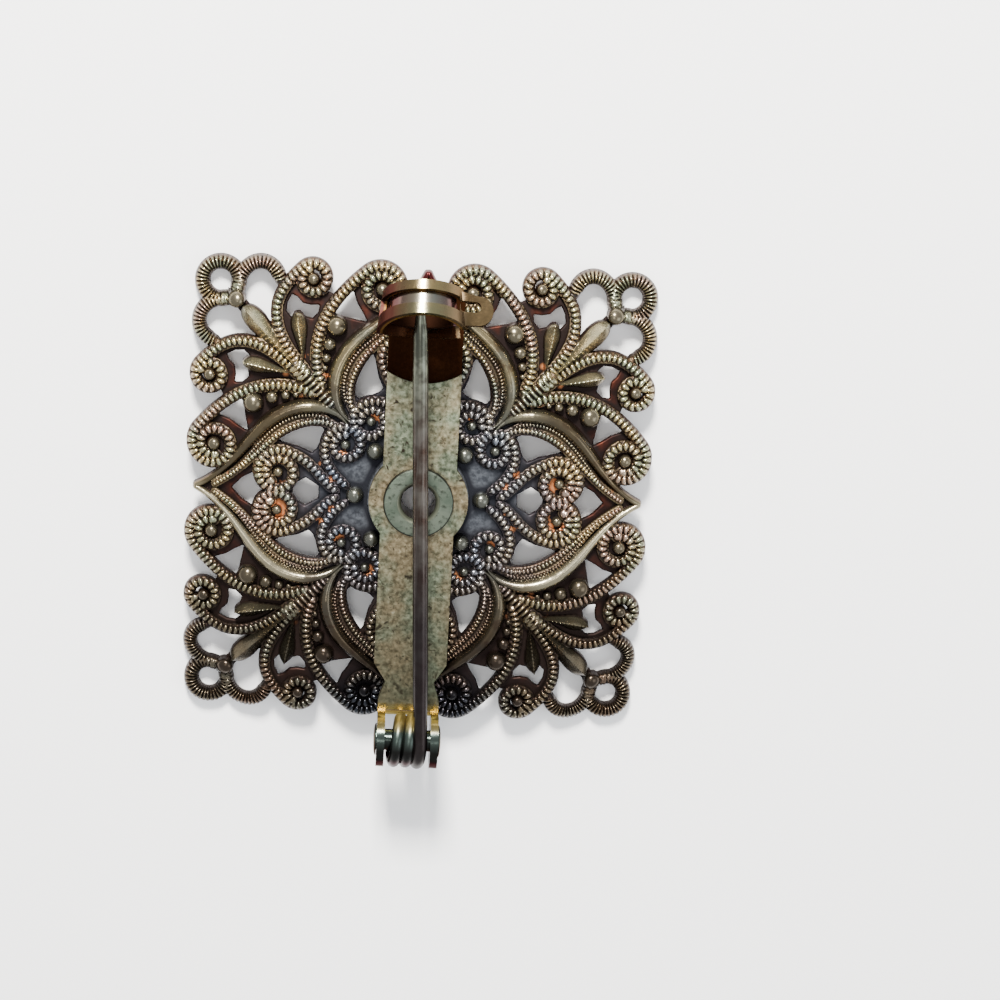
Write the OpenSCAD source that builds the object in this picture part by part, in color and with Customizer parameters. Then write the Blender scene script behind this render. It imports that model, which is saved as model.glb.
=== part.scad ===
// Square filigree brooch lying on its front, with its pin bar, safety catch and hinge upwards.
// The origin is on the surface it lies on, under the middle of its outline. +Y runs along the pin
// to the catch. The modules below are drawn about the rivet's axis and moved by seat_y at the end.

/* [Filigree] */
// Height of the flat middle of the stamping above the surface, at its underside
dome_rise = 2.1; // [1.2:0.1:3]
// Distance from the middle at which the stamping has come down to the surface
dome_reach = 20.2; // [20:0.1:21]
// Half the width of a strand at its foot
foot_half = 0.6; // [0.5:0.01:0.8]
// Half the width of a strand along its milled crest
crest_half = 0.28; // [0.2:0.01:0.4]
// Height of a strand above the underside
strand_h = 1.1; // [0.9:0.05:1.3]
// Radius of the plain sheet in the middle
sheet_r = 5.25; // [4.6:0.05:5.6]
// Thickness of the plain sheet in the middle
sheet_t = 0.5; // [0.4:0.05:0.6]
// Radius of the boss that carries the pin bar
boss_r = 3.6; // [3.5:0.1:4.3]
// Height of that boss above the underside
boss_h = 1.38; // [1.3:0.02:1.4]

/* [Pin bar] */
// Width of the pin bar
bar_w = 5.1; // [4.6:0.1:5.4]
// Thickness of the pin bar
bar_t = 0.8; // [0.6:0.05:0.9]
// Radius of the round middle of the bar
bar_disc_r = 3.45; // [3.2:0.05:3.6]
// Width of the neck before the hinge
neck_w = 3.4; // [3.2:0.1:3.8]
// Outer radius of the hollow rivet's head
rivet_head_r = 2.45; // [2.2:0.05:2.6]
// Radius of the hole through the rivet
rivet_bore_r = 1.2; // [1:0.05:1.3]

/* [Catch] */
// Outer radius of the catch's barrel at its open end
barrel_r = 3.15; // [3:0.05:3.2]
// Outer radius at its far end, where it has tapered
barrel_far_r = 2.7; // [2.6:0.05:2.8]
// Thickness of the barrel's wall
barrel_t = 0.4; // [0.35:0.05:0.45]
// Thickness of the turning sleeve's wall
sleeve_t = 0.4; // [0.35:0.05:0.45]
// Distance of the barrel's axis from the bar's middle, to the left when the hinge is below
barrel_left = 0.35; // [0:0.05:0.4]
// Angle of the sleeve's opening
sleeve_gap_deg = 52; // [48:1:56]
// How far the barrel's lip reaches to the side of the bar's middle
lip_reach = 4.25; // [4.2:0.05:4.4]
// Angle by which the barrel's axis falls towards its far end
barrel_tilt = 20; // [16:1:22]

/* [Hinge and pin] */
// Diameter of the pin's wire
wire_d = 1.0; // [0.9:0.05:1]
// Distance of the hinge's axis from the rivet
hinge_back = 17.0; // [16.8:0.1:17.2]
// Radius of the hinge's two knuckles
knuckle_r = 1.9; // [1.8:0.05:2]
// Outer width of the hinge
hinge_w = 4.3; // [4.2:0.1:4.5]
// Width between the knuckles
hinge_gap = 3.2; // [3.1:0.05:3.3]
// Distance from the rivet to the point of the pin
pin_reach = 15.1; // [14.5:0.1:15.3]

/* [Hidden] */

smooth = 64;
bead_sides = 6;
// Everything in the stamping starts this far below its underside, which is then cut clean
below = 0.5;
eps = 0.01;

// Heights, from the surface upwards
bar_z = dome_rise + boss_h + 0.02;
bar_top = bar_z + bar_t;
catch_z = bar_z + barrel_r;
wire_r = wire_d / 2;
axle_r = 0.75;
coil_bore_r = axle_r + 0.25;
coil_r = coil_bore_r + wire_r;
hinge_z = catch_z - coil_r;

// From the middle of the outline to the rivet's axis: the hinge stands out past the stamping
stamping_reach = 16.47;
seat_y = (hinge_back + coil_r + wire_r - stamping_reach) / 2;
module seated() translate([0, seat_y, 0]) children();

// Brass of the stamping, the bar and the catch, and steel of the wire
antique_brass = "#8a7448";
bar_brass = "#8f8b6a";
catch_brass = "#b3a273";
wire_steel = "#6f6a60";

// The stamping repeats one eighth of a square: every table below is for the eighth between +X and
// the diagonal, and mirror and rotate make the other seven.

// Each row of SCROLLS is a milled strand that ends in a scroll.
// start x, y, first angle, first pull, last pull,
// scroll x, y, radius where it enters, angle where it enters, hand, turns, last radius, steps
SCROLLS = [
    [7.9, 7.2, 20, 3.6, 2.3, 14.40, 3.12, 1.62, 42, -1, 0.90, 1.05, 7],
    [8.8, 8.4, 44, 3.7, 2.3, 14.85, 7.90, 1.08, 47, -1, 0.80, 0.85, 5],
    [4.9, 0.2, 30, 2.0, 1.9, 9.84, 1.38, 1.55, 60, -1, 0.85, 1.00, 6],
    [5.3, 0.5, 45, 1.0, 0.9, 5.25, 3.50, 1.33, -10, 1, 0.75, 0.90, 4]
];
// Steps along the sweep that leads to each scroll
SWEEP_STEPS = 3;

// The ogee: a smooth rod with a milled strand along its inner side, in two curves that meet.
// Then half width of the foot, half width of the crest and height.
OGEE_INNER = [[5.15, 4.85], [6.3, 6.1], [8.5, 6.2], [10.2, 4.6]];
OGEE_OUTER = [[10.2, 4.6], [11.7, 3.2], [12.8, 1.6], [15.3, 0.0]];
OGEE_SIZE = [1.0, 0.6, 1.15];
// The ribbed lobe beside the corner loop, as the ogee is given
LOBE = [[14.4, 10.1], [16.3, 10.3], [16.5, 12.8], [13.9, 13.2]];
LOBE_SIZE = [0.56, 0.38, 1.1];

// Each row of BEADS is a round bead: x, y, radius, height of its middle above the underside
BEADS = [
    [11.7, 6.15, 0.70, 0.75],
    [10.4, 6.60, 0.50, 0.80]
];
// Each row of STUDS is a low post: x, y, radius, height
STUDS = [
    [9.45, 6.70, 0.45, 1.0],
    [14.40, 3.12, 0.75, 1.1],
    [14.85, 7.90, 0.65, 1.1],
    [9.84, 1.38, 0.80, 1.1],
    [5.25, 3.50, 0.65, 1.1]
];
// Each row of DIAGONAL_BEADS lies on the diagonal: distance along x, radius, height of its middle
DIAGONAL_BEADS = [[3.15, 0.60, 0.75], [13.2, 0.66, 0.85]];
// The bead on the X axis: x, radius, height of its middle
AXIS_BEAD = [4.45, 0.62, 0.75];

// Each row of LEAF is a station along a plain leaf: x, y, radius
SIDE_LEAF = [[9.0, 8.3, 0.22], [11.5, 9.1, 0.5], [12.6, 8.85, 0.14]];
DIAGONAL_LEAF = [[8.6, 8.6, 0.25], [11.9, 11.9, 0.55], [12.8, 12.8, 0.35]];
leaf_h = 1.0;
// The thick milled stem on the diagonal: x and radius at each end
STEM = [[6.2, 0.62], [8.7, 0.75]];
// The corner loop: distance of its middle along x, radius of its crest, steps
CORNER_LOOP = [14.35, 1.26, 10];

// Height of the underside over a point of the plan
function dome(p) = dome_rise * (1 - pow(min(1, norm([p[0], p[1]]) / dome_reach), 4));
function unit(v) = v / norm(v);
function point_at(centre, r, a) = centre + r * [cos(a), sin(a)];
function bezier(p, t) = pow(1 - t, 3) * p[0] + 3 * t * pow(1 - t, 2) * p[1]
    + 3 * t * t * (1 - t) * p[2] + pow(t, 3) * p[3];
function curve(p, steps) = [for (i = [0:steps]) bezier(p, i / steps)];

// The four points of the sweep that leads into a row's scroll
function lead_in(row) =
    let (start = [row[0], row[1]], centre = [row[5], row[6]], entry = point_at(centre, row[7], row[8]))
    [start, start + row[3] * [cos(row[2]), sin(row[2])],
        entry - row[4] * row[9] * [-sin(row[8]), cos(row[8])], entry];
// The points of a row's scroll from one step to another
function scroll(row, from, to) = [for (i = [from:to])
    point_at([row[5], row[6]], row[7] + (row[11] - row[7]) * i / row[12],
        row[8] + row[9] * 360 * row[10] * i / row[12])];
function scroll_path(row) = concat(curve(lead_in(row), SWEEP_STEPS), scroll(row, 1, row[12]));
function ogee_path() = concat(curve(OGEE_INNER, 3), [for (i = [1:4]) bezier(OGEE_OUTER, i / 4)]);
function loop_path(row) = [for (i = [-1:row[2] + 1])
    point_at([row[0], row[0]], row[1], 45 + 360 * i / row[2])];

// Direction of a path at a point, from its neighbours
function heading(path, i) = unit(path[min(i + 1, len(path) - 1)] - path[max(i - 1, 0)]);

// A strand: a trapezium carried over the dome along a path, from one of its points to another.
// Two strands that share a point of one path meet face to face there.
module strand(path, from, to, foot, crest, height) {
    profile = [[-foot, -below], [foot, -below], [crest, height], [-crest, height]];
    sides = len(profile);
    last = to - from;
    points = [for (i = [from:to]) let (h = heading(path, i), side = [h[1], -h[0]])
        for (q = profile) let (p = path[i] + q[0] * side) [p[0], p[1], dome(path[i]) + q[1]]];
    walls = [for (i = [0:last - 1], k = [0:sides - 1]) let (n = (k + 1) % sides, a = i * sides, b = a + sides)
        each [[a + k, a + n, b + n], [a + k, b + n, b + k]]];
    start_cap = [for (k = [sides - 1:-1:0]) k];
    end_cap = [for (k = [0:sides - 1]) last * sides + k];
    polyhedron(points, concat(walls, [start_cap, end_cap]), convexity = 6);
}

module bead(x, y, r, h) {
    translate([x, y, dome([x, y]) + h]) sphere(r = r, $fn = bead_sides);
}

// One blunt post of a leaf or stem
module post(x, y, r, h) {
    translate([x, y, dome([x, y]) - below])
        cylinder(r1 = r, r2 = r * 0.6, h = h + below, $fn = bead_sides);
}

module leaf(stations) {
    for (i = [0:len(stations) - 2])
        hull() for (s = [stations[i], stations[i + 1]]) post(s[0], s[1], s[2], leaf_h);
}

module eighth() {
    for (row = SCROLLS) {
        split = SWEEP_STEPS + floor(row[12] / 2);
        strand(scroll_path(row), 0, split, foot_half, crest_half, strand_h);
        strand(scroll_path(row), split, SWEEP_STEPS + row[12], foot_half, crest_half, strand_h);
    }
    strand(ogee_path(), 0, 7, OGEE_SIZE[0], OGEE_SIZE[1], OGEE_SIZE[2]);
    strand(curve(LOBE, 4), 0, 4, LOBE_SIZE[0], LOBE_SIZE[1], LOBE_SIZE[2]);
    for (row = BEADS) bead(row[0], row[1], row[2], row[3]);
    for (row = STUDS) post(row[0], row[1], row[2], row[3]);
    leaf(SIDE_LEAF);
}

module quarter() {
    eighth();
    mirror([1, -1, 0]) eighth();
    for (row = DIAGONAL_BEADS) bead(row[0], row[0], row[1], row[2]);
    bead(AXIS_BEAD[0], 0, AXIS_BEAD[1], AXIS_BEAD[2]);
    leaf(DIAGONAL_LEAF);
    hull() for (s = STEM) post(s[0], s[0], s[1], strand_h);
    half = CORNER_LOOP[2] / 2;
    strand(loop_path(CORNER_LOOP), 1, 1 + half, LOBE_SIZE[0], LOBE_SIZE[1], strand_h);
    strand(loop_path(CORNER_LOOP), 1 + half, 1 + 2 * half, LOBE_SIZE[0], LOBE_SIZE[1], strand_h);
}

// The pierced and domed stamping, one piece of metal
module under_dome() {
    radii = [0, 10, 14, 17, 20, 24];
    floor_z = -below - 1;
    rotate_extrude($fn = 16) polygon(concat([[0, floor_z]], [[24, floor_z]],
        [for (i = [len(radii) - 1:-1:0]) [radii[i], dome([radii[i], 0])]]));
}

module filigree() color(antique_brass) difference() {
    union() {
        for (a = [0:90:270]) rotate(a) quarter();
        translate([0, 0, dome_rise - below]) cylinder(r = sheet_r, h = sheet_t + below, $fn = 24);
        translate([0, 0, dome_rise]) cylinder(r = boss_r, h = boss_h, $fn = 24);
    }
    under_dome();
    translate([0, 0, dome_rise - 1]) cylinder(r = rivet_bore_r + 0.6, h = 4, $fn = 24);
}

// Plan of the flat bar, from the neck to the dished end
module bar_plan() {
    square_end = 14.6;
    shoulder = 11.7;
    neck_at = 13.0;
    arm_at = 14.4;
    half = bar_w / 2;
    difference() {
        union() {
            polygon([[-half, square_end], [-half, -shoulder], [-neck_w / 2, -neck_at],
                [-hinge_w / 2, -arm_at], [-hinge_w / 2, -hinge_back], [hinge_w / 2, -hinge_back],
                [hinge_w / 2, -arm_at], [neck_w / 2, -neck_at], [half, -shoulder],
                [half, square_end]]);
            circle(r = bar_disc_r, $fn = smooth);
        }
        circle(r = rivet_bore_r + 0.6, $fn = smooth);
    }
}

// The barrel of the catch has a frame of its own: Y along its axis, and Z square to it. Its origin is
// where the axis crosses the height of the pin's point.
catch_y = 14.6;
module on_barrel() translate([0, catch_y, catch_z]) rotate([-barrel_tilt, 0, 0]) children();

// A round body along the barrel's axis, from one y to another, with a radius at each
module barrel_body(r, from, to, far_r) {
    translate([-barrel_left, from, 0]) rotate([-90, 0, 0])
        cylinder(r1 = r, r2 = far_r, h = to - from, $fn = smooth);
}

// A plate cut to an outline seen from +X, between two x
module side_cut(outline, from, to) {
    translate([from, 0, 0]) rotate([90, 0, 90]) linear_extrude(to - from) polygon(outline);
}

// The barrel's roof leans over the pin and is slotted. Each edge is given by its y at the height of
// the barrel's axis and at the top.
barrel_start = -2.9;
barrel_end = 0.65;
roof_near = [-2.7, -1.8];
roof_far = [0.1, 0.55];
slot_near = [-1.7, -0.85];
slot_far = [-0.55, 0.02];
floor_near = -2.2;
lip_z = 0.95;
mouth_low = -1.65;

function lean(ys, dz) = ys[0] + (ys[1] - ys[0]) * dz / barrel_r;
// Outer radius of the tapered barrel at a distance along its axis
function barrel_at(y) = barrel_r + (barrel_far_r - barrel_r) * (y - barrel_start) / (barrel_end - barrel_start);

// The barrel with its wall taken off by the given thickness
module barrel_round(less) {
    barrel_body(barrel_at(barrel_start) - less, barrel_start, barrel_end, barrel_at(barrel_end) - less);
}

module barrel() {
    low = -barrel_r - eps;
    high = barrel_r + eps;
    difference() {
        intersection() {
            barrel_round(0);
            side_cut([[floor_near, low], [roof_near[0], 0], [lean(roof_near, high), high],
                [lean(roof_far, high), high], [lean(roof_far, low), low]], -barrel_r - 1, barrel_r + 1);
        }
        // the mouth on the right, where the pin comes out
        translate([0, barrel_start - 1, mouth_low]) cube([barrel_r + 1, 6, lip_z - mouth_low]);
    }
}

// Flat lip that leads the pin in, with a round end
module lip() {
    end_r = 1.0;
    end_x = lip_reach - end_r;
    end_y = -1.2;
    translate([0, 0, lip_z]) linear_extrude(barrel_t) {
        polygon([[1.6, -2.2], [end_x - 0.2, end_y - end_r], [end_x, end_y + end_r], [1.6, 0.2]]);
        translate([end_x, end_y]) circle(r = end_r, $fn = smooth);
    }
}

// Slot through the roof and the lip, in which the sleeve shows
module roof_slot() {
    slot_end_x = 3.05;
    slot_end_r = 0.36;
    slot_end_y = -0.95;
    intersection() {
        side_cut([[slot_near[0], 0], [slot_near[1], barrel_r + 1], [slot_far[1], barrel_r + 1],
            [slot_far[0], 0]], -barrel_r - 1, 2.0);
        translate([-barrel_r - 1, -5, 0.2]) cube([barrel_r + 3, 8, barrel_r + 1]);
    }
    translate([0, 0, lip_z - 0.3]) linear_extrude(barrel_t + 0.6) {
        polygon([[1.5, -1.2], [slot_end_x, slot_end_y - slot_end_r],
            [slot_end_x, slot_end_y + slot_end_r], [1.5, -0.5]]);
        translate([slot_end_x, slot_end_y]) circle(r = slot_end_r, $fn = smooth);
    }
}

// Block that joins the leaning barrel to the bar's thinned end
module saddle() {
    saddle_w = 2.6;
    saddle_near = 12.4;
    saddle_far = 14.6;
    saddle_h = 1.6;
    translate([-barrel_left - saddle_w / 2, saddle_near, bar_z])
        cube([saddle_w, saddle_far - saddle_near, saddle_h]);
}

// Hinge knuckles on the bar's two arms
module knuckles() {
    for (side = [-1, 1]) {
        x = side > 0 ? hinge_gap / 2 : -hinge_w / 2;
        translate([x, -hinge_back, hinge_z]) rotate([0, 90, 0])
            cylinder(r = knuckle_r, h = (hinge_w - hinge_gap) / 2, $fn = smooth);
    }
}

// Room above the thin end of the bar, which begins at a curve like a smile
module dished_end() {
    smile_r = 4.8;
    smile_start = 8.3;
    floor_t = 0.3;
    room = 4;
    translate([0, smile_start + smile_r, bar_z + floor_t]) {
        cylinder(r = smile_r, h = room, $fn = smooth);
        translate([-bar_w, 0, 0]) cube([2 * bar_w, room, room]);
    }
}

module pin_bar() color(bar_brass) {
    difference() {
        union() {
            difference() {
                translate([0, 0, bar_z]) linear_extrude(bar_t) bar_plan();
                dished_end();
            }
            saddle();
            on_barrel() barrel();
            on_barrel() lip();
            knuckles();
        }
        on_barrel() barrel_round(barrel_t);
        on_barrel() roof_slot();
        // room for the pin's coil, and the holes of the axle
        translate([-hinge_gap / 2, -hinge_back, hinge_z]) rotate([0, 90, 0])
            cylinder(r = coil_r + wire_r + 0.12, h = hinge_gap, $fn = smooth);
        translate([-hinge_w, -hinge_back, hinge_z]) rotate([0, 90, 0])
            cylinder(r = axle_r + 0.03, h = 2 * hinge_w, $fn = smooth);
    }
}

// Hollow rivet that holds the bar to the stamping
module rivet() color(catch_brass) {
    head_h = 0.5;
    foot_h = 0.35;
    foot_r = 2.3;
    shank_r = rivet_bore_r + 0.55;
    foot_top = dome_rise - 0.07;
    rotate_extrude($fn = smooth) {
        polygon([[rivet_bore_r, foot_top - foot_h], [foot_r, foot_top - foot_h], [foot_r, foot_top],
            [shank_r, foot_top], [shank_r, bar_top + 0.02], [rivet_head_r - 0.1, bar_top + 0.02],
            [rivet_head_r, bar_top + 0.12], [rivet_head_r - 0.35, bar_top + head_h],
            [rivet_bore_r + 0.25, bar_top + head_h - 0.08], [rivet_bore_r, bar_top + 0.15]]);
    }
}

// Sleeve that turns inside the barrel and closes its mouth
module catch_sleeve() color(catch_brass) {
    near = -1.75;
    far = 0.2;
    reach = 6;
    half_gap = sleeve_gap_deg / 2;
    outer = barrel_t + 0.05;
    inner = outer + sleeve_t;
    on_barrel() difference() {
        barrel_body(barrel_at(near) - outer, near, far, barrel_at(far) - outer);
        barrel_body(barrel_at(near - 1) - inner, near - 1, far + 1, barrel_at(far + 1) - inner);
        translate([-barrel_left, far + 1, 0]) rotate([90, 0, 0]) linear_extrude(far - near + 2)
            polygon([[0, 0], [reach, -reach * tan(half_gap)], [reach, reach * tan(half_gap)]]);
    }
}

module hinge_axle() color(catch_brass) {
    head_h = 0.2;
    head_r = 1.15;
    translate([0, -hinge_back, hinge_z]) rotate([0, 90, 0]) {
        cylinder(r = axle_r, h = hinge_w + 0.1, center = true, $fn = smooth);
        for (side = [-1, 1]) translate([0, 0, side * (hinge_w / 2 + 0.03 + head_h / 2)])
            cylinder(r = head_r, h = head_h, center = true, $fn = smooth);
    }
}

// Spring wire: coiled round the axle, then straight to its point in the catch
module pin_wire() color(wire_steel) {
    first_x = 0.92;
    tip_x = -0.62;
    point_l = 3.2;
    run = pin_reach + hinge_back;
    turn = atan((first_x - tip_x) / run);
    length = run / cos(turn);
    translate([0, -hinge_back, hinge_z]) rotate([0, 90, 0]) difference() {
        union() {
            for (x = [-first_x, 0, first_x]) translate([0, 0, x])
                rotate_extrude($fn = smooth) translate([coil_r, 0]) circle(r = wire_r, $fn = smooth);
            cylinder(r = coil_r, h = 2 * first_x + 0.4, center = true, $fn = smooth);
        }
        cylinder(r = coil_bore_r, h = 4, center = true, $fn = smooth);
    }
    translate([first_x, -hinge_back, hinge_z + coil_r]) rotate([-90, 0, turn]) {
        translate([0, 0, -0.3]) cylinder(r = wire_r - 0.02, h = length - point_l + 0.3, $fn = smooth);
        translate([0, 0, length - point_l])
            cylinder(r1 = wire_r - 0.02, r2 = 0.1, h = point_l, $fn = smooth);
    }
}

seated() filigree();
seated() pin_bar();
seated() rivet();
seated() catch_sleeve();
seated() hinge_axle();
seated() pin_wire();
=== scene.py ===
"""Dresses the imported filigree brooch: stamping, pin bar with its catch, rivet, hinge and pin.

Lengths are in millimetres until they go into a mesh. The plan is measured from the rivet's axis, and SEAT
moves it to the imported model's frame.
"""

import bmesh
import bpy
import numpy as np
from mathutils import Matrix, Vector


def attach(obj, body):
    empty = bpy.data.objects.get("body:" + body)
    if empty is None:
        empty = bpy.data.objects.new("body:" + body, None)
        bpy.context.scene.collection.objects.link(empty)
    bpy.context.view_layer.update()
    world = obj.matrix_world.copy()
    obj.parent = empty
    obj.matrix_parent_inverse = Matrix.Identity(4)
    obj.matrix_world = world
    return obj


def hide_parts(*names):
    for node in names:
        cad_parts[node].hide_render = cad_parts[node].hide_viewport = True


bl_info = {
    "name": "Filigree Brooch",
    "version": (1, 0, 0),
    "blender": (4, 5, 0),
    "location": "3D View > Sidebar > Brooch",
    "description": "Builds the surfaces, finishes, light and camera of a filigree brooch",
    "category": "Add Mesh",
}

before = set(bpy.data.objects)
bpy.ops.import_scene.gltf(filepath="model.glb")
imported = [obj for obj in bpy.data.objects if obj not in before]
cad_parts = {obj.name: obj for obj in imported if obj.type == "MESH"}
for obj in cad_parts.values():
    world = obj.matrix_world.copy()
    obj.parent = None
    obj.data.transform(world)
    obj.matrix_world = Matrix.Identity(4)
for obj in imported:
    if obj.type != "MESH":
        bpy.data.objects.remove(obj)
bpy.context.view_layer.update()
MM = 0.001

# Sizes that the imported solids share, in millimetres
SEAT = 1.265
DOME_RISE = 2.1
DOME_REACH = 20.2
BAR_TOP = 4.3
CATCH_X = -0.35
CATCH_Y = 14.6
CATCH_Z = 6.65
CATCH_TILT = 20.0
BARREL_R = 3.15
BARREL_TAPER = 0.127
BARREL_START = -2.9
BARREL_T = 0.4
SLEEVE_ROOM = 0.66
HINGE_Y = -17.0
HINGE_Z = 5.15
HINGE_HALF = 2.15
COIL_R = 1.5
WIRE_R = 0.49
AXLE_R = 0.75
BORE_R = 1.2

# The axle's heads: radius, height out of the knuckles, gap behind them and rise of the dome
HEAD_R = 1.13
HEAD_OUT = 0.22
HEAD_GAP = 0.03
HEAD_DOME = 0.16

# The wire: turns of the coil, their pitch, where the last turn leaves it, how much thinner the far turns are,
# where the straight part takes over, how much it swells, its point and the length and power of its taper
COIL_TURNS = 2.35
COIL_PITCH = 0.83
COIL_END_X = 0.92
COIL_POINTS = 200
COIL_THINNER = 0.06
STRAIGHT_FROM = 206
STRAIGHT_SWELL = 0.04
POINT_X = -0.62
POINT_Y = 15.1
POINT_R = 0.06
TAPER_LENGTH = 3.2
TAPER_POWER = 0.8

# Half outline of the hollow rivet as radius and height: its rolled head above the bar's top, then its shank
RIVET_HEAD = [(2.40, 0.03), (2.44, 0.10), (2.44, 0.34), (2.41, 0.40), (2.35, 0.43), (2.28, 0.44)]
RIVET_HEAD += [(1.54, 0.44), (1.48, 0.435), (1.42, 0.40), (1.22, 0.16), (1.20, 0.10)]
RIVET_SHANK = [(1.2, 4.2), (1.2, 1.75), (1.28, 1.68), (2.25, 1.68), (2.3, 1.8)]
RIVET_SHANK += [(2.25, 2.03), (1.78, 2.03), (1.75, 4.32)]

# Faces of the bar and catch that meet at more than this angle in degrees keep a sharp edge
SHARP_ANGLE = 35
# The catch's lip is rounded this many times wider than the other edges
LIP_ROUNDING = 2

# Stage: the floor's corners in metres, and the lamps by name, place and size, power in watts and colour
FLOOR = [(-2, -2, -0.00005), (2, -2, -0.00005), (2, 2, -0.00005), (-2, 2, -0.00005)]
WORLD_COLOUR = (0.95, 0.97, 1.0, 1.0)
WORLD_STRENGTH = 1.15
LAMPS = (
    ("key", (-0.03, 0.23, 0.20), 0.06, 4.2, (1.0, 0.97, 0.92)),
    ("fill", (0.26, -0.04, 0.22), 0.20, 0.45, (0.92, 0.96, 1.0)),
    ("top", (-0.04, 0.04, 0.30), 0.08, 0.18, (1.0, 0.98, 0.95)),
)
LAMP_TARGET = (0, 0, 0.003)

# Camera fitted to the photograph: tip, lean and turn in degrees, distance and height of its target, and shift
CAMERA_ANGLES = (11.87, 1.61, -2.84)
CAMERA_DISTANCE = 154.0
CAMERA_TARGET_Z = 1.63
CAMERA_SHIFT = (0.0824, -0.006)
SENSOR_WIDTH = 36.0


# Plan curves


def bezier(points, steps):
    """Points of a cubic curve: its four control points, each times its Bernstein weight, summed."""
    p = np.asarray(points, float)
    t = np.linspace(0, 1, steps + 1)[:, None]
    return (1 - t) ** 3 * p[0] + 3 * t * (1 - t) ** 2 * p[1] + 3 * t * t * (1 - t) * p[2] + t**3 * p[3]


def spiral(centre, first, last, start, turns, hand, steps):
    """Points of a spiral whose radius falls from first to last by equal ratios, from start in degrees."""
    t = np.linspace(0, 1, steps + 1)
    r = first * (last / first) ** t
    a = np.radians(start + hand * 360 * turns * t)
    return np.stack([centre[0] + r * np.cos(a), centre[1] + r * np.sin(a)], 1)


def even_path(*parts, step=0.11):
    """The parts joined end to end, then divided again into equal lengths of about one step."""
    points = np.concatenate([parts[0]] + [part[1:] for part in parts[1:]])
    run = np.concatenate([[0], np.cumsum(np.hypot(*np.diff(points, axis=0).T))])
    t = np.linspace(0, run[-1], max(2, int(round(run[-1] / step))) + 1)
    return np.stack([np.interp(t, run, points[:, 0]), np.interp(t, run, points[:, 1])], 1)


def beside(path, distance):
    """The path moved sideways: each point goes that far along the path's left normal."""
    t = np.gradient(path, axis=0)
    t /= np.linalg.norm(t, axis=1)[:, None]
    return path + distance * np.stack([-t[:, 1], t[:, 0]], 1)


# The stamping repeats one eighth of a square, and these tables hold the eighth between +X and the diagonal


def strand_table():
    """Every strand: kind, path, half widths of its foot and of its crest, height and the beads' pitch.

    A triple holds for the strand's start, the end of its sweep and its end, and one number for all of it.
    """
    first = even_path(
        bezier([(7.6, 7.0), (9.2, 7.75), (11.2, 7.6), (12.85, 6.65)], 24),
        bezier([(12.85, 6.65), (13.95, 6.0), (14.95, 5.0), (15.60, 4.20)], 16),
        spiral((14.40, 3.12), 1.62, 0.80, 42, 1.40, -1, 80),
    )
    second = even_path(
        bezier([(8.4, 8.0), (9.6, 9.3), (11.2, 10.45), (12.8, 10.35)], 24),
        bezier([(12.8, 10.35), (13.9, 10.3), (14.9, 9.4), (15.59, 8.69)], 14),
        spiral((14.85, 7.90), 1.08, 0.74, 47, 1.05, -1, 60),
    )
    heart = even_path(
        bezier([(5.75, 0.22), (6.9, 1.0), (7.3, 2.15), (8.89, 2.70)], 20),
        spiral((9.84, 1.35), 1.65, 0.78, 125, 1.50, -1, 90),
    )
    small = even_path(
        bezier([(5.05, 0.62), (6.5, 1.5), (7.05, 3.2), (6.35, 4.2)], 20),
        spiral((5.22, 3.50), 1.33, 0.72, 32, 1.15, 1, 60),
    )
    ogee = even_path(
        bezier([(5.1, 4.9), (6.1, 6.4), (8.6, 6.6), (10.5, 5.0)], 24),
        bezier([(10.5, 5.0), (12.1, 3.65), (13.1, 1.25), (15.55, 0.06)], 24),
    )
    inner = even_path(
        bezier([(5.9, 4.75), (6.6, 5.2), (8.2, 5.35), (10, 3.95)], 20),
        bezier([(10, 3.95), (11.3, 2.85), (12.2, 1.5), (14.2, 0.3)], 24),
    )
    fine = beside(ogee, -0.62)[14:92]
    lobe = even_path(bezier([(14.6, 10.2), (16.3, 10.6), (16.2, 12.8), (14.1, 13.15)], 30))
    turn = np.radians(np.linspace(225, 585, 61))
    loop = np.stack([14.35 + 1.28 * np.cos(turn), 14.35 + 1.28 * np.sin(turn)], 1)
    stem = even_path(np.array([[6.2, 6.2], [8.9, 8.9]]))
    return [
        ("beaded", first, (0.48, 0.43, 0.43), (0.37, 0.33, 0.34), (1.15, 1.10, 1.05), (0.39, 0.38, 0.43)),
        ("beaded", second, (0.45, 0.43, 0.43), (0.34, 0.31, 0.34), (1.15, 1.10, 1.05), (0.39, 0.38, 0.42)),
        ("beaded", heart, (0.41, 0.41, 0.42), (0.30, 0.32, 0.33), 1.05, (0.40, 0.42, 0.43)),
        ("beaded", small, (0.40, 0.40, 0.41), (0.30, 0.30, 0.31), 1.0, (0.40, 0.42, 0.42)),
        ("rod", ogee, 0.55, 0, 1.30, 0),
        ("beaded", inner, (0.37, 0.35, 0.30), (0.23, 0.20, 0.16), 0.98, (0.29, 0.29, 0.27)),
        ("beaded", fine, (0.22, 0.21, 0.19), (0.15, 0.14, 0.12), (0.98, 0.96, 0.95), (0.24, 0.24, 0.22)),
        ("coiled", lobe, 0.52, 0, 1.10, 0.24),
        ("coiled", loop, 0.54, 0, 1.12, 0.2436),
        ("coiled", stem, (0.50, 0.58, 0.66), 0, (1.20, 1.26, 1.32), 0.38),
    ]


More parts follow.
